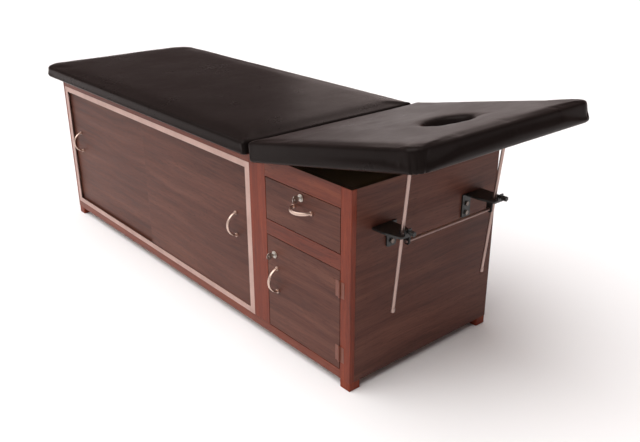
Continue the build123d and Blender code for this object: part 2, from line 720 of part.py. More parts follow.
with BuildPart() as main_cushion:
    with BuildSketch(Plane.XY.offset(CABINET_TOP)) as main_outline:
        with Locations(((main_start + main_end) / 2, 0)):
            Rectangle(main_end - main_start, 2 * PAD_HALF_WIDTH)
        fillet(main_outline.vertices().group_by(Axis.X)[0], radius=FOOT_CORNER)
        fillet(main_outline.vertices().group_by(Axis.X)[-1], radius=JOINT_CORNER)
    extrude(amount=PAD_TOP - CABINET_TOP)
    fillet(main_cushion.faces().sort_by(Axis.Z)[-1].edges(), radius=PAD_TOP_ROUND)
    fillet(main_cushion.faces().sort_by(Axis.Z)[0].edges(), radius=PAD_BOTTOM_ROUND)
    with BuildSketch(Plane.XY.offset(CABINET_TOP)):
        with Locations(((main_start + BOARD_INSET + board_end) / 2, 0)):
            Rectangle(board_end - main_start - BOARD_INSET, 2 * board_half_width)
    extrude(amount=PAD_BOARD, mode=Mode.SUBTRACT)
    with BuildSketch(Plane.XY.offset(CABINET_TOP + PAD_BOARD)):
        with Locations(*[(HINGE_X - HINGE_LEAF / 2, offset_y) for offset_y in HINGE_OFFSETS]):
            Rectangle(HINGE_LEAF, HINGE_WIDTH)
    extrude(amount=HINGE_LEAF_THICKNESS, mode=Mode.SUBTRACT)
finish(main_cushion, "main_cushion")

# ---------------------------------------------------------------- head section

tilt = radians(TILT)
along_head = Vector(cos(tilt), 0, sin(tilt))
above_head = Vector(-sin(tilt), 0, cos(tilt))
hinge_point = Vector(HINGE_X, 0, HINGE_Z)


def head_plane(height):
    """A plane parallel to the head section, at a height above the hinge axis."""
    return Plane(origin=hinge_point + above_head * height, x_dir=along_head, z_dir=above_head)


head_board_span = (BOARD_HINGE_INSET, HEAD_REACH - BOARD_INSET)
head_pad_top = PAD_TOP - HINGE_Z

with BuildPart() as head_board:
    with BuildSketch(head_plane(HEAD_UNDERSIDE)):
        with Locations(((head_board_span[0] + head_board_span[1]) / 2, 0)):
            Rectangle(head_board_span[1] - head_board_span[0], 2 * board_half_width)
        with Locations((FACE_HOLE_CENTRE, 0)):
            Ellipse(
                FACE_HOLE_HALF_LENGTH + FACE_HOLE_BOARD_MARGIN,
                FACE_HOLE_HALF_WIDTH + FACE_HOLE_BOARD_MARGIN,
                mode=Mode.SUBTRACT,
            )
    extrude(amount=HEAD_BOARD_TOP - HEAD_UNDERSIDE)
finish(head_board, "head_board")

with BuildPart() as head_cushion:
    with BuildSketch(head_plane(HEAD_SKIRT_BOTTOM)) as head_outline:
        with Locations(((PAD_SETBACK + HEAD_REACH) / 2, 0)):
            Rectangle(HEAD_REACH - PAD_SETBACK, 2 * PAD_HALF_WIDTH)
        fillet(head_outline.vertices().group_by(Axis.X)[0], radius=JOINT_CORNER)
        fillet(head_outline.vertices().group_by(Axis.X)[-1], radius=HEAD_CORNER)
    extrude(amount=head_pad_top - HEAD_SKIRT_BOTTOM)
    head_normal = Axis(hinge_point, above_head)
    fillet(head_cushion.faces().sort_by(head_normal)[-1].edges(), radius=PAD_TOP_ROUND)
    fillet(head_cushion.faces().sort_by(head_normal)[0].edges(), radius=PAD_BOTTOM_ROUND)
    with BuildSketch(head_plane(HEAD_SKIRT_BOTTOM)):
        with Locations((head_board_span[1] / 2, 0)):
            Rectangle(head_board_span[1], 2 * board_half_width)
    extrude(amount=HEAD_UNDERSIDE - HEAD_SKIRT_BOTTOM, mode=Mode.SUBTRACT)
    with BuildSketch(head_plane(HEAD_UNDERSIDE)):
        with Locations(((head_board_span[0] + head_board_span[1]) / 2, 0)):
            Rectangle(head_board_span[1] - head_board_span[0], 2 * board_half_width)
    extrude(amount=HEAD_BOARD_TOP - HEAD_UNDERSIDE, mode=Mode.SUBTRACT)
    with BuildSketch(head_plane(HEAD_BOARD_TOP)):
        with Locations(*[(HINGE_LEAF / 2, offset_y) for offset_y in HINGE_OFFSETS]):
            Rectangle(HINGE_LEAF, HINGE_WIDTH)
    extrude(amount=HINGE_LEAF_THICKNESS, mode=Mode.SUBTRACT)
    with BuildSketch(head_plane(HEAD_BOARD_TOP)):
        with Locations((FACE_HOLE_CENTRE, 0)):
            Ellipse(FACE_HOLE_HALF_LENGTH, FACE_HOLE_HALF_WIDTH)
    extrude(amount=head_pad_top - HEAD_BOARD_TOP, mode=Mode.SUBTRACT)
    hole_rim = head_cushion.faces().sort_by(head_normal)[-1].inner_wires()[0]
    fillet(hole_rim.edges(), radius=FACE_HOLE_ROUND)
finish(head_cushion, "head_cushion")

# ---------------------------------------------------------------- head hinges


def section_plane(y):
    """An upright plane at y: local x along +X, local y up, extruding towards -Y."""
    return Plane(origin=(0, y, 0), x_dir=(1, 0, 0), z_dir=(0, -1, 0))


def tilted_section(y):
    """The same kind of plane, with its origin on the hinge axis and turned with the head."""
    return Plane(origin=hinge_point + Vector(0, y, 0), x_dir=along_head, z_dir=(0, -1, 0))


knuckle = HINGE_WIDTH / 3
leaf_width = HINGE_LEAF - HINGE_LEAF_START
leaf_middle = (HINGE_LEAF + HINGE_LEAF_START) / 2

with BuildPart() as head_hinge_fixed_leaves:
    for offset_y in HINGE_OFFSETS:
        hinge_end = offset_y + HINGE_WIDTH / 2
        with BuildSketch(section_plane(hinge_end)):
            with Locations((HINGE_X, HINGE_Z)):
                Circle(PIN_RADIUS)
        extrude(amount=HINGE_WIDTH)
        with BuildSketch(section_plane(hinge_end)):
            with Locations((HINGE_X - leaf_middle, HINGE_Z)):
                Rectangle(leaf_width, HINGE_LEAF_THICKNESS)
        extrude(amount=HINGE_WIDTH)
        for knuckle_end in (hinge_end, hinge_end - 2 * knuckle - KNUCKLE_PLAY):
            with BuildSketch(section_plane(knuckle_end)):
                with Locations((HINGE_X, HINGE_Z)):
                    Circle(KNUCKLE_RADIUS)
                with Locations((HINGE_X - KNUCKLE_ROOT / 2, HINGE_Z)):
                    Rectangle(KNUCKLE_ROOT, HINGE_LEAF_THICKNESS)
            extrude(amount=knuckle - KNUCKLE_PLAY)
finish(head_hinge_fixed_leaves, "head_hinge_fixed_leaves")

with BuildPart() as head_hinge_moving_leaves:
    for offset_y in HINGE_OFFSETS:
        hinge_end = offset_y + HINGE_WIDTH / 2
        with BuildSketch(tilted_section(hinge_end)):
            with Locations((leaf_middle, 0)):
                Rectangle(leaf_width, HINGE_LEAF_THICKNESS)
        extrude(amount=HINGE_WIDTH)
        with BuildSketch(tilted_section(hinge_end - knuckle)):
            Circle(KNUCKLE_RADIUS)
            with Locations((KNUCKLE_ROOT / 2, 0)):
                Rectangle(KNUCKLE_ROOT, HINGE_LEAF_THICKNESS)
        extrude(amount=knuckle)
        with BuildSketch(tilted_section(hinge_end - knuckle)):
            Circle(PIN_RADIUS + PIN_CLEARANCE)
        extrude(amount=knuckle, mode=Mode.SUBTRACT)
finish(head_hinge_moving_leaves, "head_hinge_moving_leaves")

# ---------------------------------------------------------------- rod lugs and pins

ear_inner = EYE_HALF_WIDTH + EYE_PLAY
ear_height = PIVOT_DROP + HEAD_UNDERSIDE

with BuildPart() as rod_eye_lugs:
    for rod_y in (-ROD_SPREAD, ROD_SPREAD):
        with BuildSketch(head_plane(HEAD_UNDERSIDE)):
            with Locations((PIVOT_REACH, rod_y)):
                RectangleRounded(*LUG_BASE, LUG_BASE_ROUND)
        extrude(amount=-LUG_PLATE)
        for ear_start in (rod_y + ear_inner + LUG_PLATE, rod_y - ear_inner):
            with BuildSketch(tilted_section(ear_start)):
                with Locations((PIVOT_REACH, -PIVOT_DROP)):
                    Circle(EYE_RADIUS)
                with Locations((PIVOT_REACH, HEAD_UNDERSIDE - ear_height / 2)):
                    Rectangle(2 * EYE_RADIUS, ear_height)
                with Locations((PIVOT_REACH, -PIVOT_DROP)):
                    Circle(PIVOT_RADIUS, mode=Mode.SUBTRACT)
            extrude(amount=LUG_PLATE)
finish(rod_eye_lugs, "rod_eye_lugs")

with BuildPart() as rod_pivot_pins:
    for rod_y in (-ROD_SPREAD, ROD_SPREAD):
        pin_start = rod_y + ear_inner + LUG_PLATE
        pin_end = rod_y - ear_inner - LUG_PLATE
        with BuildSketch(tilted_section(pin_start)):
            with Locations((PIVOT_REACH, -PIVOT_DROP)):
                Circle(PIVOT_RADIUS)
        extrude(amount=pin_start - pin_end)
        with BuildSketch(tilted_section(pin_start + PIVOT_HEAD), tilted_section(pin_end)):
            with Locations((PIVOT_REACH, -PIVOT_DROP)):
                Circle(PIVOT_HEAD_RADIUS)
        extrude(amount=PIVOT_HEAD)
finish(rod_pivot_pins, "rod_pivot_pins")

# ---------------------------------------------------------------- prop rods

pivot = hinge_point + along_head * PIVOT_REACH - above_head * PIVOT_DROP
lean = radians(ROD_LEAN)
down_rod = Vector(-sin(lean), 0, -cos(lean))
rod_length = (pivot.Z - ROD_END_HEIGHT) / cos(lean)


def prop_rod(rod_y):
    """A round rod with a forged eye at the top and a ferrule on its lower end."""
    eye_centre = pivot + Vector(0, rod_y, 0)
    eye_plane = Plane(origin=eye_centre + Vector(0, EYE_HALF_WIDTH, 0), z_dir=(0, -1, 0))
    ferrule_start = eye_centre + down_rod * (rod_length - FERRULE_LENGTH)
    with BuildPart() as rod:
        with BuildSketch(Plane(origin=eye_centre, z_dir=down_rod)):
            Circle(ROD_RADIUS)
        extrude(amount=rod_length - FERRULE_LENGTH)
        with BuildSketch(Plane(origin=ferrule_start, z_dir=down_rod)):
            Circle(FERRULE_RADIUS)
        extrude(amount=FERRULE_LENGTH)
        fillet(rod.faces().sort_by(Axis.Z)[0].edges(), radius=FERRULE_ROUND)
        with BuildSketch(eye_plane):
            Circle(EYE_RADIUS)
        extrude(amount=2 * EYE_HALF_WIDTH)
        with BuildSketch(eye_plane):
            Circle(PIVOT_RADIUS + PIN_CLEARANCE)
        extrude(amount=2 * EYE_HALF_WIDTH, mode=Mode.SUBTRACT)
    return rod


front_prop_rod = prop_rod(-ROD_SPREAD)
finish(front_prop_rod, "front_prop_rod")

rear_prop_rod = prop_rod(ROD_SPREAD)
finish(rear_prop_rod, "rear_prop_rod")

# ---------------------------------------------------------------- guide brackets

plate_underside = BRACKET_TOP - BRACKET_PLATE
hanger_bottom = TIE_BAR_HEIGHT - HANGER_BELOW_BAR


def guide_bracket(side):
    """A folded steel bracket on the head end: leg, slotted plate, bar hanger and screw lug."""
    rod_y = side * ROD_SPREAD
    with BuildPart() as bracket:
        with BuildSketch(Plane.YZ.offset(HEAD_FACE)):
            with Locations((side * LEG_CENTRE, (LEG_BOTTOM + BRACKET_TOP) / 2)):
                Rectangle(LEG_WIDTH, BRACKET_TOP - LEG_BOTTOM)
        extrude(amount=BRACKET_LEG)
        fillet(bracket.edges().filter_by(Axis.X).group_by(Axis.Z)[0], radius=LEG_ROUND)
        with BuildSketch(Plane.XY.offset(plate_underside)) as plate:
            with BuildLine():
                Polyline(
                    (HEAD_FACE, rod_y - BRACKET_ROOT_WIDTH / 2),
                    (HEAD_FACE + BRACKET_TAPER_START, rod_y - BRACKET_ROOT_WIDTH / 2),
                    (HEAD_FACE + BRACKET_REACH, rod_y - BRACKET_TIP_WIDTH / 2),
                    (HEAD_FACE + BRACKET_REACH, rod_y + BRACKET_TIP_WIDTH / 2),
                    (HEAD_FACE + BRACKET_TAPER_START, rod_y + BRACKET_ROOT_WIDTH / 2),
                    (HEAD_FACE, rod_y + BRACKET_ROOT_WIDTH / 2),
                    close=True,
                )
            make_face()
            fillet(plate.vertices().group_by(Axis.X)[-1], radius=BRACKET_TIP_ROUND)
            with Locations((HEAD_FACE + ROD_SLOT_CENTRE, rod_y)):
                SlotOverall(ROD_SLOT_LENGTH, ROD_SLOT_WIDTH, mode=Mode.SUBTRACT)
        extrude(amount=BRACKET_PLATE)
        hanger_outside = side * (LEG_CENTRE + LEG_WIDTH / 2)
        hanger_start = max(hanger_outside, hanger_outside - side * HANGER_THICKNESS)
        with BuildSketch(section_plane(hanger_start)):
            with BuildLine():
                Polyline(
                    (HEAD_FACE + HANGER_START, plate_underside),
                    (HEAD_FACE + HANGER_END, plate_underside),
                    (HEAD_FACE + HANGER_END, hanger_bottom + HANGER_CHAMFER),
                    (HEAD_FACE + HANGER_END - HANGER_CHAMFER, hanger_bottom),
                    (HEAD_FACE + HANGER_START + HANGER_CHAMFER, hanger_bottom),
                    (HEAD_FACE + HANGER_START, hanger_bottom + HANGER_CHAMFER),
                    close=True,
                )
            make_face()
            with Locations((HEAD_FACE + TIE_BAR_OUT, TIE_BAR_HEIGHT)):
                Circle(TIE_BAR_RADIUS, mode=Mode.SUBTRACT)
        extrude(amount=HANGER_THICKNESS)
        with BuildSketch(Plane.YZ.offset(HEAD_FACE + BRACKET_REACH)):
            with Locations((rod_y, (plate_underside + SCREW_LUG_TOP) / 2)):
                Rectangle(SCREW_LUG_WIDTH, SCREW_LUG_TOP - plate_underside)
        extrude(amount=-SCREW_LUG)
        with BuildSketch(Plane.YZ.offset(HEAD_FACE + BRACKET_REACH)):
            with Locations((rod_y, SCREW_HEIGHT)):
                Circle(SCREW_RADIUS + PIN_CLEARANCE)
        extrude(amount=-SCREW_LUG, mode=Mode.SUBTRACT)
        with BuildSketch(Plane.YZ.offset(HEAD_FACE)):
            with Locations(*[(side * LEG_CENTRE, height) for height in SCREW_HOLE_HEIGHTS]):
                Circle(SHANK_RADIUS)
        extrude(amount=BRACKET_LEG, mode=Mode.SUBTRACT)
    return bracket


front_guide_bracket = guide_bracket(-1)
finish(front_guide_bracket, "front_guide_bracket")

rear_guide_bracket = guide_bracket(1)
finish(rear_guide_bracket, "rear_guide_bracket")

tie_bar_half = LEG_CENTRE + LEG_WIDTH / 2 + TIE_BAR_STUB
with BuildPart() as tie_bar:
    with BuildSketch(section_plane(tie_bar_half)):
        with Locations((HEAD_FACE + TIE_BAR_OUT, TIE_BAR_HEIGHT)):
            Circle(TIE_BAR_RADIUS)
    extrude(amount=2 * tie_bar_half)
    fillet(tie_bar.faces().sort_by(Axis.Y)[0].edges(), radius=TIE_BAR_ROUND)
    fillet(tie_bar.faces().sort_by(Axis.Y)[-1].edges(), radius=TIE_BAR_ROUND)
finish(tie_bar, "tie_bar")

with BuildPart() as bracket_screws:
    with BuildSketch(Plane.YZ.offset(HEAD_FACE - SHANK_LENGTH)):
        with Locations(*screw_places):
            Circle(SHANK_RADIUS)
    extrude(amount=SHANK_LENGTH + BRACKET_LEG)
    with BuildSketch(Plane.YZ.offset(HEAD_FACE + BRACKET_LEG)):
        with Locations(*screw_places):
            RegularPolygon(SHANK_HEAD_RADIUS, 6)
    extrude(amount=SHANK_HEAD)
finish(bracket_screws, "bracket_screws")

# ---------------------------------------------------------------- thumb screws

screw_tip = HEAD_FACE + SCREW_TIP_OUT
collar_start = HEAD_FACE + BRACKET_REACH + COLLAR_GAP
knob_start = HEAD_FACE + KNOB_START_OUT


def thumb_screw(rod_y):
    """A clamping screw along X with a collar and a fluted knob outside the bracket's lug."""
    with BuildPart() as screw:
        with BuildSketch(Plane.YZ.offset(screw_tip)):
            with Locations((rod_y, SCREW_HEIGHT)):
                Circle(SCREW_RADIUS)
        extrude(amount=knob_start - screw_tip)
        with BuildSketch(Plane.YZ.offset(collar_start)):
            with Locations((rod_y, SCREW_HEIGHT)):
                Circle(COLLAR_RADIUS)
        extrude(amount=knob_start - collar_start)
        with BuildSketch(Plane.YZ.offset(knob_start)):
            with Locations((rod_y, SCREW_HEIGHT)):
                Circle(KNOB_RADIUS)
                with PolarLocations(KNOB_RADIUS + FLUTE_RADIUS / 2, FLUTE_COUNT):
                    Circle(FLUTE_RADIUS, mode=Mode.SUBTRACT)
        extrude(amount=KNOB_LENGTH)
        fillet(screw.faces().sort_by(Axis.X)[-1].edges(), radius=KNOB_ROUND)
    return screw


front_thumb_screw = thumb_screw(-ROD_SPREAD)
finish(front_thumb_screw, "front_thumb_screw")

rear_thumb_screw = thumb_screw(ROD_SPREAD)
finish(rear_thumb_screw, "rear_thumb_screw")
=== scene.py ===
import json
import math

import bmesh
import bpy
from mathutils import Matrix, Vector, noise


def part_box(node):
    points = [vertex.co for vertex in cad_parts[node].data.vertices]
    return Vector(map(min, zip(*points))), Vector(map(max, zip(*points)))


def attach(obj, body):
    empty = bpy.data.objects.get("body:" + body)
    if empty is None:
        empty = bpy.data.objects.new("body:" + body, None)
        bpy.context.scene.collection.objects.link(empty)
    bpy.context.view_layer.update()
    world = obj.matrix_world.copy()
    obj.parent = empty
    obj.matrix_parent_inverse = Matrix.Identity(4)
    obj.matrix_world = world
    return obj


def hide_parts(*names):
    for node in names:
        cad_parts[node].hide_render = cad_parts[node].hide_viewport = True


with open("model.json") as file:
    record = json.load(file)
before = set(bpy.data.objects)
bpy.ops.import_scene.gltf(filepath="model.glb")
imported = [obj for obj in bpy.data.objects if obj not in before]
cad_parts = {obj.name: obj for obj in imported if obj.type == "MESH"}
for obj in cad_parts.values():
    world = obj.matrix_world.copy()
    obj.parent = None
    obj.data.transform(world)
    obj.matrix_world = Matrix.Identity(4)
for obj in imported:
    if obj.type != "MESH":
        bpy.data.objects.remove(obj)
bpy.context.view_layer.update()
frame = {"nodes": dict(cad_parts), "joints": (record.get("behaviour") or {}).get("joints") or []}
scene = bpy.context.scene
scene.view_settings.view_transform = "Standard"

# ------------------------------------------------------------------ node helpers

# a colour Mix node's sockets, which share their names with its other types' sockets
MIX_FACTOR = 0
MIX_FIRST = 6
MIX_SECOND = 7
MIX_RESULT = 2


class Shader:
    """A material's node tree, with short calls for the nodes that the finishes below share."""

    def __init__(self, name, roughness, metallic=0.0):
        self.material = bpy.data.materials.new(name)
        self.material.use_nodes = True
        self.tree = self.material.node_tree
        self.bsdf = self.tree.nodes["Principled BSDF"]
        self.bsdf.inputs["Roughness"].default_value = roughness
        self.bsdf.inputs["Metallic"].default_value = metallic
        self.coordinates = self.tree.nodes.new("ShaderNodeTexCoord").outputs["Object"]

    def node(self, kind, **settings):
        made = self.tree.nodes.new(kind)
        for key, value in settings.items():
            setattr(made, key, value)
        return made

    def link(self, source, target):
        self.tree.links.new(source, target)

    def stretched(self, scale, shift=(0, 0, 0), source=None):
        """Object coordinates scaled per axis, in repeats per metre."""
        mapping = self.node("ShaderNodeMapping")
        mapping.inputs["Scale"].default_value = scale
        mapping.inputs["Location"].default_value = shift
        self.link(source or self.coordinates, mapping.inputs["Vector"])
        return mapping.outputs["Vector"]

    def noise(self, vector, scale=1.0, detail=4.0, roughness=0.55, distortion=0.0):
        made = self.node("ShaderNodeTexNoise")
        made.inputs["Scale"].default_value = scale
        made.inputs["Detail"].default_value = detail
        made.inputs["Roughness"].default_value = roughness
        made.inputs["Distortion"].default_value = distortion
        self.link(vector, made.inputs["Vector"])
        return made.outputs["Fac"]

    def voronoi(self, vector, scale, feature="F1"):
        made = self.node("ShaderNodeTexVoronoi", feature=feature)
        made.inputs["Scale"].default_value = scale
        self.link(vector, made.inputs["Vector"])
        return made.outputs["Distance"]

    def ramp(self, value, stops):
        made = self.node("ShaderNodeValToRGB")
        elements = made.color_ramp.elements
        while len(elements) < len(stops):
            elements.new(0.5)
        for element, (place, colour) in zip(elements, stops):
            element.position = place
            element.color = (*colour, 1.0)
        self.link(value, made.inputs["Fac"])
        return made.outputs["Color"]

    def span(self, value, low, high, out_low, out_high):
        """Maps low..high to out_low..out_high, clamped."""
        made = self.node("ShaderNodeMapRange")
        made.inputs["From Min"].default_value = low
        made.inputs["From Max"].default_value = high
        made.inputs["To Min"].default_value = out_low
        made.inputs["To Max"].default_value = out_high
        self.link(value, made.inputs["Value"])
        return made.outputs["Result"]

    def math(self, operation, first, second):
        made = self.node("ShaderNodeMath", operation=operation)
        for socket, value in zip(made.inputs, (first, second)):
            if isinstance(value, (int, float)):
                socket.default_value = value
            else:
                self.link(value, socket)
        return made.outputs["Value"]

    def mix(self, factor, first, second):
        made = self.node("ShaderNodeMix", data_type="RGBA")
        sockets = (made.inputs[MIX_FACTOR], made.inputs[MIX_FIRST], made.inputs[MIX_SECOND])
        for socket, value in zip(sockets, (factor, first, second)):
            if isinstance(value, (int, float)):
                socket.default_value = value
            elif isinstance(value, tuple):
                socket.default_value = (*value, 1.0)
            else:
                self.link(value, socket)
        return made.outputs[MIX_RESULT]

    def height(self):
        """Each point's height above the floor."""
        separate = self.node("ShaderNodeSeparateXYZ")
        self.link(self.coordinates, separate.inputs[0])
        return separate.outputs["Z"]

    def colour(self, value):
        if isinstance(value, tuple):
            self.bsdf.inputs["Base Color"].default_value = (*value, 1.0)
        else:
            self.link(value, self.bsdf.inputs["Base Color"])

    def roughness(self, value):
        self.link(value, self.bsdf.inputs["Roughness"])

    def bump(self, height, distance, strength=1.0, after=None):
        made = self.node("ShaderNodeBump")
        made.inputs["Strength"].default_value = strength
        made.inputs["Distance"].default_value = distance
        self.link(height, made.inputs["Height"])
        if after is not None:
            self.link(after, made.inputs["Normal"])
        self.link(made.outputs["Normal"], self.bsdf.inputs["Normal"])
        return made.outputs["Normal"]


def srgb(red, green, blue):
    """A display colour, 0 to 255, as the linear colour that shaders take."""
    return tuple(c / 12.92 if c <= 0.04045 else ((c + 0.055) / 1.055) ** 2.4
                 for c in (red / 255, green / 255, blue / 255))


def along(axis, lengthwise, crosswise):
    """A scale that runs slowly along one axis and fast across it."""
    return tuple(lengthwise if i == axis else crosswise for i in range(3))


# ------------------------------------------------------------------ finishes


# near-black painted shade, for the deck and the frame's top edges under the pads
DECK_PAINTED_SHADE = srgb(24, 21, 20)
PLY_COUNT = 5


def wood(name, axis, tones, shift, roughness, coat=0.0, painted_shade_above=None):
    """Straight-grained wood or wood print: broad figure, fibres, dark pore lines. The grain runs along axis,
    and tones is (dark, mid, light). Faces higher than the last argument's height are painted near-black:
    painted shade under the pads."""
    s = Shader(name, roughness)
    s.bsdf.inputs["Specular IOR Level"].default_value = 0.16
    dark, mid, light = tones
    drift = s.noise(s.stretched(along(axis, 0.9, 2.6), shift), detail=2.0)
    moved = s.node("ShaderNodeVectorMath", operation="MULTIPLY_ADD")
    s.link(drift, moved.inputs[0])
    moved.inputs[1].default_value = along(axis, 0.0, 0.11)
    s.link(s.coordinates, moved.inputs[2])
    figure = s.noise(s.stretched(along(axis, 1.3, 26.0), shift, moved.outputs[0]), detail=5.0, roughness=0.62)
    fibre = s.noise(s.stretched(along(axis, 6.0, 170.0), shift, moved.outputs[0]), detail=4.0, roughness=0.6)
    pores = s.noise(s.stretched(along(axis, 28.0, 640.0), shift, moved.outputs[0]), detail=1.0)
    cloud = s.noise(s.stretched((3.1, 3.1, 3.1), shift), detail=2.0)
    tone = s.ramp(s.math("ADD", s.math("MULTIPLY", figure, 0.6), s.math("MULTIPLY", fibre, 0.4)),
                  [(0.34, dark), (0.5, mid), (0.66, light)])
    tone = s.mix(s.span(cloud, 0.35, 0.7, 0.0, 0.32), tone, mid)
    pore = s.span(pores, 0.62, 0.70, 0.0, 0.5)
    tone = s.mix(pore, tone, tuple(c * 0.42 for c in dark))
    # painted shade: faces above the deck's top, under the pads, are painted near-black
    if painted_shade_above is not None:
        tone = s.mix(s.math("GREATER_THAN", s.height(), painted_shade_above), tone, DECK_PAINTED_SHADE)
    s.colour(tone)
    s.roughness(s.span(fibre, 0.3, 0.7, roughness - 0.05, roughness + 0.08))
    s.bump(s.math("SUBTRACT", s.math("MULTIPLY", fibre, 0.5), pore), 0.00006)
    if coat:
        s.bsdf.inputs["Coat Weight"].default_value = coat
        s.bsdf.inputs["Coat Roughness"].default_value = 0.18
    return s.material


def plywood(name, layers=None):
    """Plywood with a pale face veneer. layers is (underside, thickness) where its edges show their plies."""
    s = Shader(name, 0.62)
    grain = s.noise(s.stretched((3.0, 60.0, 3.0)), detail=6.0, roughness=0.65)
    fine = s.noise(s.stretched((22.0, 460.0, 22.0)), detail=3.0)
    face = s.ramp(s.math("ADD", s.math("MULTIPLY", grain, 0.7), s.math("MULTIPLY", fine, 0.3)),
                  [(0.36, srgb(150, 112, 74)), (0.5, srgb(186, 148, 104)), (0.66, srgb(208, 176, 132))])
    if layers is not None:
        underside, thickness = layers
        layer = s.math("PINGPONG", s.math("SUBTRACT", s.height(), underside), thickness / PLY_COUNT)
        stripe = s.span(layer, thickness * 0.085, thickness * 0.115, 0.0, 1.0)
        edge = s.mix(stripe, srgb(176, 138, 96), srgb(112, 78, 50))
        normal = s.node("ShaderNodeSeparateXYZ")
        s.link(s.node("ShaderNodeNewGeometry").outputs["Normal"], normal.inputs[0])
        level = s.span(s.math("ABSOLUTE", normal.outputs["Z"], 0.0), 0.6, 0.7, 0.0, 1.0)
        face = s.mix(level, edge, face)
    s.colour(face)
    s.bump(fine, 0.00012)
    return s.material


def board(name, base):
    """Melamine-faced board: an even print with a faint pebble texture."""
    s = Shader(name, 0.5)
    speck = s.noise(s.stretched((420.0, 420.0, 420.0)), detail=2.0)
    streak = s.noise(s.stretched((2.0, 40.0, 40.0)), detail=4.0)
    s.colour(s.mix(s.span(streak, 0.35, 0.65, 0.0, 0.5), base, tuple(c * 0.72 for c in base)))
    s.roughness(s.span(speck, 0.3, 0.7, 0.44, 0.58))
    s.bump(speck, 0.00005)
    return s.material


def metal(name, base, roughness, axis=None, patina=None):
    """Bare or plated metal. With an axis it is brushed along it; patina is a second colour that clouds it."""
    s = Shader(name, roughness, metallic=1.0)
    fine_scale = along(axis, 9.0, 900.0) if axis is not None else (520.0, 520.0, 520.0)
    fine = s.noise(s.stretched(fine_scale), detail=3.0, roughness=0.6)
    cloud = s.noise(s.stretched((18.0, 18.0, 18.0)), detail=4.0)
    wear = patina or tuple(c * 0.82 for c in base)
    s.colour(s.mix(s.span(cloud, 0.38, 0.66, 0.0, 0.6), base, wear))
    s.roughness(s.span(s.math("ADD", s.math("MULTIPLY", fine, 0.6), s.math("MULTIPLY", cloud, 0.4)),
                       0.3, 0.7, roughness * 0.78, roughness * 1.3))
    s.bump(fine, 0.00002)
    return s.material


def powder_coat(name, base, roughness):
    """Baked paint on steel: orange peel and a few rubbed places."""
    s = Shader(name, roughness)
    peel = s.noise(s.stretched((600.0, 600.0, 600.0)), detail=2.0)
    rub = s.noise(s.stretched((45.0, 45.0, 45.0)), detail=5.0, roughness=0.7)
    s.colour(s.mix(s.span(rub, 0.6, 0.74, 0.0, 0.5), base, tuple(min(1.0, c * 1.5 + 0.01) for c in base)))
    s.roughness(s.span(rub, 0.35, 0.7, roughness + 0.06, roughness - 0.08))
    s.bump(peel, 0.00008)
    return s.material


def vinyl(name, base, roughness):
    """Upholstery vinyl: pebbled leather grain in two sizes, faint stretch creases, slight colour drift."""
    s = Shader(name, roughness)
    warp = s.node("ShaderNodeVectorMath", operation="MULTIPLY_ADD")
    s.link(s.noise(s.stretched((60.0, 60.0, 60.0)), detail=2.0), warp.inputs[0])
    warp.inputs[1].default_value = (0.004, 0.004, 0.004)
    s.link(s.coordinates, warp.inputs[2])
    cells = s.voronoi(warp.outputs[0], 620.0, feature="DISTANCE_TO_EDGE")
    small = s.voronoi(warp.outputs[0], 1500.0)
    creases = s.noise(s.stretched((26.0, 11.0, 26.0)), detail=6.0, roughness=0.7, distortion=0.6)
    broad = s.noise(s.stretched((4.5, 4.5, 4.5)), detail=3.0)
    pebble = s.span(cells, 0.0, 0.28, 0.0, 1.0)
    lighter = tuple(c * 1.4 + 0.0006 for c in base)
    s.colour(s.mix(s.span(broad, 0.35, 0.68, 0.0, 0.7), base, lighter))
    s.roughness(s.span(s.math("ADD", s.math("MULTIPLY", broad, 0.6), s.math("MULTIPLY", creases, 0.4)),
                       0.35, 0.65, roughness - 0.05, roughness + 0.07))
    first = s.bump(s.math("ADD", pebble, s.math("MULTIPLY", small, 0.5)), 0.00006, 0.6)
    s.bump(creases, 0.0006, 0.4, first)
    s.bsdf.inputs["Specular IOR Level"].default_value = 0.06
    s.bsdf.inputs["Specular Tint"].default_value = (1.0, 0.84, 0.80, 1.0)
    s.bsdf.inputs["Sheen Weight"].default_value = 0.07
    s.bsdf.inputs["Sheen Roughness"].default_value = 0.35
    s.bsdf.inputs["Sheen Tint"].default_value = (1.0, 0.46, 0.38, 1.0)
    return s.material


LAMINATE = (srgb(63, 35, 28), srgb(89, 53, 43), srgb(108, 69, 56))
REDWOOD = (srgb(84, 33, 19), srgb(117, 48, 28), srgb(139, 64, 39))
REDWOOD_RAIL = (srgb(78, 36, 25), srgb(108, 51, 36), srgb(130, 69, 48))
# a hair under the deck's top, so that the faces level with it get the painted shade too
DECK_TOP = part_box("top_deck")[1].z - 0.00025

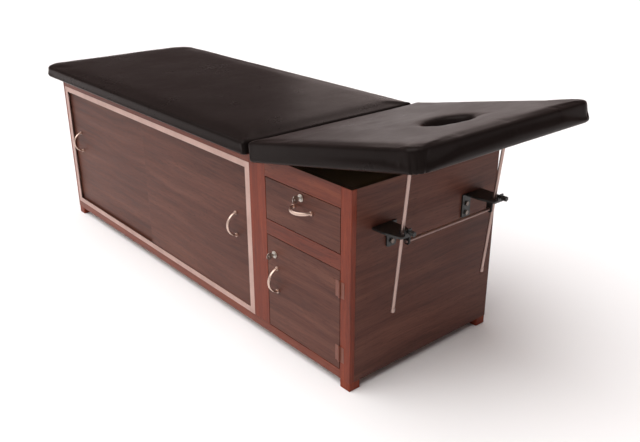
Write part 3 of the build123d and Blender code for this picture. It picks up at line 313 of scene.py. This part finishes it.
finishes = {
    "laminate_doors_front": wood("laminate_doors_front", 0, LAMINATE, (0.0, 0.0, 0.0), 0.42),
    "laminate_doors_rear": wood("laminate_doors_rear", 0, LAMINATE, (4.3, 0.0, 1.7), 0.42),
    "laminate_drawer": wood("laminate_drawer", 0, LAMINATE, (8.1, 0.0, 2.9), 0.40),
    "laminate_cupboard": wood("laminate_cupboard", 0, LAMINATE, (2.6, 0.0, 7.3), 0.40),
    # the head end panel, stiles and rails get painted shade: their faces above the deck are painted
    # near-black
    "laminate_head_end": wood("laminate_head_end", 1, LAMINATE, (0.0, 3.3, 5.1), 0.42, painted_shade_above=DECK_TOP),
    "laminate_back": wood("laminate_back", 0, LAMINATE, (5.9, 1.1, 4.4), 0.44),
    "laminate_foot_end": wood("laminate_foot_end", 1, LAMINATE, (0.0, 9.7, 6.4), 0.42),
    "redwood_upright": wood("redwood_upright", 2, REDWOOD, (1.3, 0.0, 0.0), 0.38,
                            coat=0.1, painted_shade_above=DECK_TOP),
    "redwood_level": wood("redwood_level", 0, REDWOOD_RAIL, (0.0, 0.0, 3.7), 0.38,
                          coat=0.1, painted_shade_above=DECK_TOP),
    "redwood_feet": wood("redwood_feet", 2, REDWOOD, (6.1, 2.2, 0.0), 0.46),
    "inner_board": board("inner_board_melamine", srgb(138, 104, 84)),
    # painted shade: the deck under the pads is painted near-black where they shade it
    "deck_painted_shade": board("deck_painted_shade_board", DECK_PAINTED_SHADE),
    "pad_ply": plywood("pad_ply", layers=(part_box("main_pad_board")[0].z, 0.018)),
    "head_ply": plywood("head_ply"),
    "drawer_ply": plywood("drawer_ply"),
    "champagne_trim_long": metal("champagne_trim_long", srgb(196, 166, 156), 0.40, axis=0),
    "champagne_trim_tall": metal("champagne_trim_tall", srgb(196, 166, 156), 0.40, axis=2),
    "satin_nickel": metal("satin_nickel", srgb(188, 178, 168), 0.32),
    "champagne_nickel": metal("champagne_nickel", srgb(216, 190, 176), 0.36),
    "rod_upright": metal("rod_upright", srgb(172, 148, 140), 0.38, axis=2),
    "rod_level": metal("rod_level", srgb(142, 118, 112), 0.42, axis=1),
    "black_steel": powder_coat("black_steel_coat", srgb(26, 25, 24), 0.42),
    "brown_hinge": powder_coat("brown_hinge_lacquer", srgb(112, 62, 46), 0.42),
    "plated_hinge": metal("plated_hinge", srgb(196, 188, 170), 0.34, patina=srgb(160, 148, 120)),
    "zinc_plate": metal("zinc_plate", srgb(196, 200, 204), 0.32, patina=srgb(168, 166, 156)),
    "dull_bolt": metal("dull_bolt", srgb(128, 118, 112), 0.45, patina=srgb(92, 82, 76)),
    "nylon": board("nylon_glide", srgb(214, 210, 198)),
    "black_vinyl": vinyl("black_vinyl", srgb(20, 16, 15), 0.30),
}

FINISH_OF = {
    "laminate_doors_front": ["front_sliding_door"],
    "laminate_doors_rear": ["rear_sliding_door"],
    "laminate_drawer": ["drawer_front"],
    "laminate_cupboard": ["cupboard_door"],
    "laminate_head_end": ["head_end_panel"],
    "laminate_back": ["back_panel"],
    "laminate_foot_end": ["foot_end_panel"],
    "redwood_upright": ["foot_stile", "middle_stile", "head_stile"],
    "redwood_level": ["top_rail", "bottom_rail", "drawer_top_rail", "drawer_bottom_rail"],
    "redwood_feet": ["block_feet"],
    "inner_board": ["base_panel", "bay_partition", "storage_shelf", "drawer_shelf",
                    "drawer_runners"],
    # the deck takes the near-black painted shade
    "deck_painted_shade": ["top_deck"],
    "pad_ply": ["main_pad_board"],
    "head_ply": ["head_board"],
    "drawer_ply": ["drawer_foot_side", "drawer_head_side", "drawer_back", "drawer_bottom"],
    "champagne_trim_long": ["door_track_top", "door_track_bottom"],
    "champagne_trim_tall": ["door_jamb_foot", "door_jamb_head"],
    "champagne_nickel": ["front_door_handle", "rear_door_handle", "drawer_handle", "cupboard_handle"],
    "satin_nickel": ["drawer_lock_body", "cupboard_lock_body", "drawer_key", "cupboard_key"],
    "rod_upright": ["front_prop_rod", "rear_prop_rod"],
    "rod_level": ["tie_bar"],
    "black_steel": ["front_guide_bracket", "rear_guide_bracket", "rod_eye_lugs", "front_thumb_screw",
                    "rear_thumb_screw"],
    "brown_hinge": ["cupboard_hinge_door_leaves", "cupboard_hinge_frame_leaves"],
    "plated_hinge": ["head_hinge_fixed_leaves", "head_hinge_moving_leaves"],
    "zinc_plate": ["rod_pivot_pins", "drawer_lock_cam", "cupboard_lock_cam"],
    "dull_bolt": ["bracket_screws"],
    "nylon": ["front_door_glides", "rear_door_glides"],
    "black_vinyl": ["main_cushion", "head_cushion"],
}

for finish, names in FINISH_OF.items():
    for name in names:
        for slot in frame["nodes"][name].material_slots:
            slot.material = finishes[finish]


def soften_edges(name, width):
    """Eases a node's machined edges, on top of its own mesh."""
    node = frame["nodes"][name]
    weld = node.modifiers.new("weld", "WELD")
    weld.merge_threshold = 0.00001
    bevel = node.modifiers.new("ease", "BEVEL")
    bevel.width = width
    bevel.segments = 2
    bevel.limit_method = "ANGLE"
    bevel.angle_limit = math.radians(40)
    bevel.harden_normals = True


for name in ("foot_stile", "middle_stile", "head_stile", "top_rail", "bottom_rail", "drawer_top_rail",
             "drawer_bottom_rail", "back_panel", "foot_end_panel", "main_pad_board"):
    soften_edges(name, 0.0010)
for name in ("drawer_foot_side", "drawer_head_side", "drawer_back", "storage_shelf", "drawer_shelf",
             "drawer_runners"):
    soften_edges(name, 0.0006)

# ------------------------------------------------------------------ cushions

# the head section at rest is tilted up about its hinge by this much
TILT = math.radians(11.6)
HINGE = next(Vector(joint["pos_m"]) for joint in frame["joints"] if joint["name"] == "head_tilt")
HEAD_FRAME = Matrix.Translation(HINGE) @ Matrix.Rotation(-TILT, 4, "Y")

CORNER_STEPS = 12
ROUND_STEPS = 6
SWELL_FRAMES = 20


def new_object(name, mesh):
    made = bpy.data.objects.new(name, mesh)
    scene.collection.objects.link(made)
    return made


def outline(start, end, half_width, start_round, end_round, inset):
    """A rectangle with rounded corners, as points anticlockwise, moved in by inset."""
    points = []
    for corner_x, side, radius, turn in ((start, -1, start_round, 180), (end, -1, end_round, 270),
                                         (end, 1, end_round, 0), (start, 1, start_round, 90)):
        sign = 1 if corner_x == start else -1
        centre = Vector((corner_x + sign * radius, side * (half_width - radius)))
        reach = max(radius - inset, 0.001)
        for step in range(CORNER_STEPS + 1):
            angle = math.radians(turn + 90 * step / CORNER_STEPS)
            points.append(centre + reach * Vector((math.cos(angle), math.sin(angle))))
    return points


def rounded_block(name, start, end, half_width, bottom, top, start_round, end_round, bottom_round, top_round):
    """A closed block with rounded corners and rolled edges."""
    rings = []
    for step in range(ROUND_STEPS + 1):
        angle = math.pi / 2 * step / ROUND_STEPS
        rings.append((bottom_round * (1 - math.sin(angle)), bottom + bottom_round * (1 - math.cos(angle))))
    for step in range(ROUND_STEPS + 1):
        angle = math.pi / 2 * step / ROUND_STEPS
        rings.append((top_round * (1 - math.cos(angle)), top - top_round * (1 - math.sin(angle))))
    bm = bmesh.new()
    loops = [[bm.verts.new((p.x, p.y, height))
              for p in outline(start, end, half_width, start_round, end_round, inset)]
             for inset, height in rings]
    count = len(loops[0])
    for lower, upper in zip(loops, loops[1:]):
        for i in range(count):
            j = (i + 1) % count
            bm.faces.new((lower[i], lower[j], upper[j], upper[i]))
    bm.faces.new(list(reversed(loops[0])))
    bm.faces.new(loops[-1])
    bmesh.ops.recalc_face_normals(bm, faces=bm.faces)
    mesh = bpy.data.meshes.new(name)
    bm.to_mesh(mesh)
    bm.free()
    return new_object(name, mesh)


def box_cutter(low, high):
    bm = bmesh.new()
    bmesh.ops.create_cube(bm, size=1.0)
    low, high = Vector(low), Vector(high)
    for v in bm.verts:
        v.co = Vector(low[i] if v.co[i] < 0 else high[i] for i in range(3))
    mesh = bpy.data.meshes.new("cutter")
    bm.to_mesh(mesh)
    bm.free()
    return new_object("cutter", mesh)


def oval_cutter(centre_x, half_x, half_y, bottom, top):
    bm = bmesh.new()
    bmesh.ops.create_cone(bm, cap_ends=True, segments=64, radius1=1.0, radius2=1.0, depth=1.0)
    for v in bm.verts:
        v.co = Vector((centre_x + v.co.x * half_x, v.co.y * half_y, bottom if v.co.z < 0 else top))
    mesh = bpy.data.meshes.new("cutter")
    bm.to_mesh(mesh)
    bm.free()
    return new_object("cutter", mesh)


def bake_modifiers(piece):
    """Makes the piece's mesh what its modifiers show now."""
    bpy.context.view_layer.update()
    shown = piece.evaluated_get(bpy.context.evaluated_depsgraph_get())
    mesh = bpy.data.meshes.new_from_object(shown)
    piece.modifiers.clear()
    piece.data = mesh


def cut(piece, cutter):
    """Takes the cutter out of the piece, and removes the cutter."""
    boolean = piece.modifiers.new("cut", "BOOLEAN")
    boolean.object = cutter
    boolean.operation = "DIFFERENCE"
    boolean.solver = "EXACT"
    bake_modifiers(piece)
    bpy.data.objects.remove(cutter)


def remesh(piece, voxel):
    modifier = piece.modifiers.new("voxels", "REMESH")
    modifier.mode = "VOXEL"
    modifier.voxel_size = voxel
    modifier.use_smooth_shade = True
    bake_modifiers(piece)


def relax(piece, rounds, where=lambda co: True):
    """Evens out small steps and dimples, on the points that where(co) picks."""
    group = piece.vertex_groups.new(name="relaxed")
    group.add([v.index for v in piece.data.vertices if where(v.co)], 1.0, "REPLACE")
    smooth = piece.modifiers.new("relax", "SMOOTH")
    smooth.factor = 0.5
    smooth.iterations = rounds
    smooth.vertex_group = "relaxed"
    bake_modifiers(piece)
    piece.vertex_groups.clear()


def inflate(piece, held, cap):
    """Swells the piece with Cloth, as a stuffed cover. The points that held(co) picks stay, and none moves
    further than cap."""
    start = [v.co.copy() for v in piece.data.vertices]
    group = piece.vertex_groups.new(name="held")
    group.add([v.index for v in piece.data.vertices if held(v.co)], 1.0, "REPLACE")
    cloth = piece.modifiers.new("cover", "CLOTH")
    settings = cloth.settings
    settings.vertex_group_mass = "held"
    settings.quality = 5
    settings.mass = 0.35
    settings.tension_stiffness = settings.compression_stiffness = 28
    settings.shear_stiffness = 12
    settings.bending_stiffness = 1.2
    settings.use_pressure = True
    settings.uniform_pressure_force = 4.0
    settings.effector_weights.gravity = 0
    cloth.collision_settings.use_collision = False
    for step in range(SWELL_FRAMES):
        scene.frame_set(step + 1)
    bake_modifiers(piece)
    scene.frame_set(1)
    piece.vertex_groups.clear()
    for v, before in zip(piece.data.vertices, start):
        move = v.co - before
        if move.length > 1e-7:
            v.co = before + move.normalized() * cap * math.tanh(move.length / cap)


def fit(piece, low, high):
    """Stretches the piece slightly, so that it fills the box from low to high."""
    for axis in range(3):
        places = [v.co[axis] for v in piece.data.vertices]
        start, reach = min(places), max(places) - min(places)
        for v in piece.data.vertices:
            v.co[axis] = low[axis] + (v.co[axis] - start) * (high[axis] - low[axis]) / reach


def subdivide(piece):
    modifier = piece.modifiers.new("fine", "SUBSURF")
    modifier.levels = modifier.render_levels = 1
    bake_modifiers(piece)


def shade_smooth(piece):
    piece.data.polygons.foreach_set("use_smooth", [True] * len(piece.data.polygons))
    piece.data.update()


# folds start this far inside a corner's rim, and reach their full depth over the second distance
PLEAT_INSIDE = 0.05
PLEAT_GROWTH = 0.035


def pleat_depth(angle, folds, width):
    """How deep the folds are at an angle round a corner, 0 to 1, with a soft lip on one side."""
    depth = 0.0
    for fold in folds:
        offset = (angle - fold) / width
        depth += math.exp(-offset * offset) - 0.45 * math.exp(-((offset - 1.5) / 0.9) ** 2)
    return depth


def pleat_corners(piece, corners, low, high, depth, folds, width):
    """Gathers the cover at its round corners: folds that start at high and deepen down to low. A corner is
    (centre, radius, the way it faces), and folds are angles round it, width degrees wide."""
    for v in piece.data.vertices:
        for centre, radius, facing in corners:
            out = Vector((v.co.x - centre.x, v.co.y - centre.y))
            if out.length < radius - PLEAT_INSIDE or out.x * facing.x < 0 or out.y * facing.y < 0:
                continue
            angle = math.degrees(math.atan2(abs(out.y), abs(out.x)))
            rim = min(1.0, max(0.0, (out.length - radius + PLEAT_INSIDE) / PLEAT_GROWTH))
            fall = min(1.0, max(0.0, (high - v.co.z) / (high - low)))
            move = depth * rim * fall ** 1.3 * pleat_depth(angle, folds, width)
            v.co -= Vector((out.x, out.y, 0.0)).normalized() * move


def undulate(piece, height, size, seed, above):
    """The slow unevenness of foam under a taut cover, on the faces above a height."""
    for v in piece.data.vertices:
        if v.co.z > above:
            v.co.z += height * noise.noise(Vector((v.co.x / size + seed, v.co.y / size, seed * 0.37)))


def upholster(piece, body, node):
    shade_smooth(piece)
    piece.data.materials.clear()
    piece.data.materials.append(finishes["black_vinyl"])
    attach(piece, body)
    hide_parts(node)


# the pads' plan: half width, and corner radii at the foot, at the joint of the pads and at the head
main_low, main_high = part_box("main_cushion")
half_width = main_high.y
FOOT_CORNER = 0.088
JOINT_CORNER = 0.016
HEAD_CORNER = 0.044
# both pads start this much smaller, at the sides and on top, and the sides' rounds and tops follow
SIDE_SWELL = 0.003
TOP_SWELL = 0.004
# a pad's flat top, for evening out, ends this far below its highest level and this far from the sides
FLAT_TOP_DEPTH = 0.010
FLAT_TOP_MARGIN = 0.026
# covers are pinned within this distance of the boards
PIN_REACH = 0.004

# main pad: over the carcass, from the foot overhang to the hinge
board_low, board_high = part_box("main_pad_board")


def main_pinned(co):
    """The stapled skirt, and the faces against the board."""
    by_board = abs(co.y) < board_high.y + PIN_REACH and co.x > board_low.x - PIN_REACH
    return co.z < main_low.z + 0.012 or (by_board and co.z < board_high.z + PIN_REACH)


def main_flat(co):
    inside = abs(co.y) < half_width - FLAT_TOP_MARGIN and main_low.x + 0.030 < co.x < main_high.x - 0.024
    return inside and co.z > main_high.z - FLAT_TOP_DEPTH


main_pad = rounded_block(
    "main_cushion_cover",
    start=main_low.x + SIDE_SWELL, end=main_high.x - SIDE_SWELL / 2, half_width=half_width - SIDE_SWELL,
    bottom=main_low.z + 0.0004, top=main_high.z - TOP_SWELL,
    start_round=FOOT_CORNER - SIDE_SWELL, end_round=JOINT_CORNER - SIDE_SWELL,
    bottom_round=0.010, top_round=0.008)
cut(main_pad, box_cutter((board_low.x, board_low.y, main_low.z - 0.02), board_high))
remesh(main_pad, 0.0075)
relax(main_pad, 2)
inflate(main_pad, main_pinned, cap=0.0045)
relax(main_pad, 14, main_flat)
subdivide(main_pad)
fit(main_pad, main_low, main_high)
pleat_corners(
    main_pad,
    [(Vector((main_low.x + FOOT_CORNER, side * (half_width - FOOT_CORNER))), FOOT_CORNER, Vector((-1, side)))
     for side in (-1, 1)],
    low=main_low.z, high=main_high.z - 0.012, depth=0.0034, folds=(14, 32, 46, 60, 77), width=3.0)
undulate(main_pad, height=0.0009, size=0.19, seed=3.1, above=main_high.z - 0.02)
upholster(main_pad, "carcass", "main_cushion")

# head pad: made flat in the hinge's own frame, where these are, then tilted into place
HEAD_START = 0.005
HEAD_REACH = 0.686
HEAD_TOP = main_high.z - HINGE.z
HEAD_BOARD_TOP = -0.001
HEAD_BOARD_BOTTOM = -0.0182
HEAD_SKIRT_BOTTOM = -0.036
BOARD_START = 0.026
BOARD_END = HEAD_REACH - 0.035
FACE_HOLE_CENTRE = 0.466
FACE_HOLE_HALF = (0.062, 0.080)
board_half_width = board_high.y


def head_pinned(co):
    """The skirt's lower edge, and the faces against the board."""
    by_board = abs(co.y) < board_half_width + PIN_REACH and co.x < BOARD_END + PIN_REACH
    return co.z < HEAD_SKIRT_BOTTOM + 0.010 or (by_board and co.z < HEAD_BOARD_TOP + PIN_REACH)


def head_flat(co):
    inside = abs(co.y) < half_width - FLAT_TOP_MARGIN and HEAD_START + 0.024 < co.x < HEAD_REACH - 0.028
    from_hole = math.hypot((co.x - FACE_HOLE_CENTRE) / FACE_HOLE_HALF[0], co.y / FACE_HOLE_HALF[1])
    return inside and co.z > HEAD_TOP - FLAT_TOP_DEPTH and from_hole > 1.2


head_pad = rounded_block(
    "head_cushion_cover",
    start=HEAD_START + SIDE_SWELL / 2, end=HEAD_REACH - SIDE_SWELL, half_width=half_width - SIDE_SWELL,
    bottom=HEAD_SKIRT_BOTTOM + 0.001, top=HEAD_TOP - TOP_SWELL,
    start_round=JOINT_CORNER - SIDE_SWELL, end_round=HEAD_CORNER - SIDE_SWELL,
    bottom_round=0.012, top_round=0.008)
cut(head_pad, box_cutter((-0.1, -board_half_width, -0.1), (BOARD_END, board_half_width, HEAD_BOARD_BOTTOM)))
cut(head_pad, box_cutter((BOARD_START, -board_half_width, -0.1),
                         (BOARD_END, board_half_width, HEAD_BOARD_TOP)))
cut(head_pad, oval_cutter(FACE_HOLE_CENTRE, *FACE_HOLE_HALF, -0.1, 0.1))
remesh(head_pad, 0.0055)
relax(head_pad, 2)
inflate(head_pad, head_pinned, cap=0.004)
relax(head_pad, 14, head_flat)
subdivide(head_pad)
fit(head_pad, (HEAD_START, -half_width, HEAD_SKIRT_BOTTOM), (HEAD_REACH, half_width, HEAD_TOP))
pleat_corners(
    head_pad,
    [(Vector((HEAD_REACH - HEAD_CORNER, side * (half_width - HEAD_CORNER))), HEAD_CORNER, Vector((1, side)))
     for side in (-1, 1)],
    low=HEAD_SKIRT_BOTTOM, high=HEAD_TOP - 0.014, depth=0.0030, folds=(20, 45, 70), width=5.0)
undulate(head_pad, height=0.0008, size=0.16, seed=8.4, above=HEAD_TOP - 0.018)
head_pad.data.transform(HEAD_FRAME)
upholster(head_pad, "head_section", "head_cushion")

# ------------------------------------------------------------------ stage, lights and camera

FLOOR_HALF = 30
floor_mesh = bpy.data.meshes.new("floor")
bm = bmesh.new()
bmesh.ops.create_grid(bm, x_segments=1, y_segments=1, size=FLOOR_HALF)
bm.to_mesh(floor_mesh)
bm.free()
floor = new_object("floor", floor_mesh)
floor_shader = Shader("floor_paint", 0.75)
floor_shader.colour((0.92, 0.92, 0.92))
floor.data.materials.append(floor_shader.material)

# the studio wall's brightness, by the sine of the elevation: bright low down, which the pads' tops reflect
WALL_GLOW = ((0.0, 0.66), (0.07, 0.47), (0.16, 0.06), (0.30, 0.05), (1.0, 0.5))
WALL_TINT = (1.0, 0.84, 0.82)
PLAIN_WALL = (0.92, 0.92, 0.92)

world = bpy.data.worlds.new("studio")
world.use_nodes = True
scene.world = world
sky = world.node_tree
direction = sky.nodes.new("ShaderNodeTexCoord")
rise = sky.nodes.new("ShaderNodeSeparateXYZ")
sky.links.new(direction.outputs["Generated"], rise.inputs[0])
glow = sky.nodes.new("ShaderNodeValToRGB")
while len(glow.color_ramp.elements) < len(WALL_GLOW):
    glow.color_ramp.elements.new(0.5)
for element, (place, level) in zip(glow.color_ramp.elements, WALL_GLOW):
    element.position = place
    element.color = (*(level * tint for tint in WALL_TINT), 1.0)
sky.links.new(rise.outputs["Z"], glow.inputs["Fac"])
# the lens sees a plain pale wall, and everything else is lit by the graded one
ray = sky.nodes.new("ShaderNodeLightPath")
wall = sky.nodes.new("ShaderNodeMix")
wall.data_type = "RGBA"
wall.inputs[MIX_SECOND].default_value = (*PLAIN_WALL, 1.0)
sky.links.new(ray.outputs["Is Camera Ray"], wall.inputs[MIX_FACTOR])
sky.links.new(glow.outputs["Color"], wall.inputs[MIX_FIRST])
sky.links.new(wall.outputs[MIX_RESULT], sky.nodes["Background"].inputs["Color"])
sky.nodes["Background"].inputs["Strength"].default_value = 1.0


def add_light(name, light, towards, place=(0, 0, 0)):
    """Puts a light in the scene, shining along towards."""
    made = bpy.data.objects.new(name, light)
    scene.collection.objects.link(made)
    made.location = place
    made.rotation_euler = Vector(towards).to_track_quat("-Z", "Y").to_euler()


sky_panel = bpy.data.lights.new("sky_panel", "SUN")
sky_panel.energy = 3.5
sky_panel.angle = math.radians(75)
add_light("sky_panel", sky_panel, (0.20, 0.46, -1.0))

BACK_PLACE = Vector((-3.3, 4.3, 2.0))
BACK_TARGET = Vector((0.3, 0.1, 0.67))
back_panel_light = bpy.data.lights.new("back_panel_light", "AREA")
back_panel_light.shape = "RECTANGLE"
back_panel_light.size = 2.4
back_panel_light.size_y = 1.6
back_panel_light.energy = 12
back_panel_light.color = (1.0, 0.84, 0.80)
add_light("back_panel_light", back_panel_light, BACK_TARGET - BACK_PLACE, BACK_PLACE)

CAMERA_PLACE = Vector((2.16144, -1.540, 1.308))
CAMERA_AIM = Vector((-0.70444502, 0.59312627, -0.38981846))
CAMERA_ROLL = math.radians(-0.253)
camera_data = bpy.data.cameras.new("camera")
camera_data.sensor_width = 36.0
camera_data.lens = 42.636
camera_data.clip_end = 200.0
camera = bpy.data.objects.new("camera", camera_data)
scene.collection.objects.link(camera)
camera.location = CAMERA_PLACE
aimed = CAMERA_AIM.to_track_quat("-Z", "Y").to_matrix()
camera.rotation_euler = (aimed @ Matrix.Rotation(CAMERA_ROLL, 3, "Z")).to_euler()
scene.camera = camera
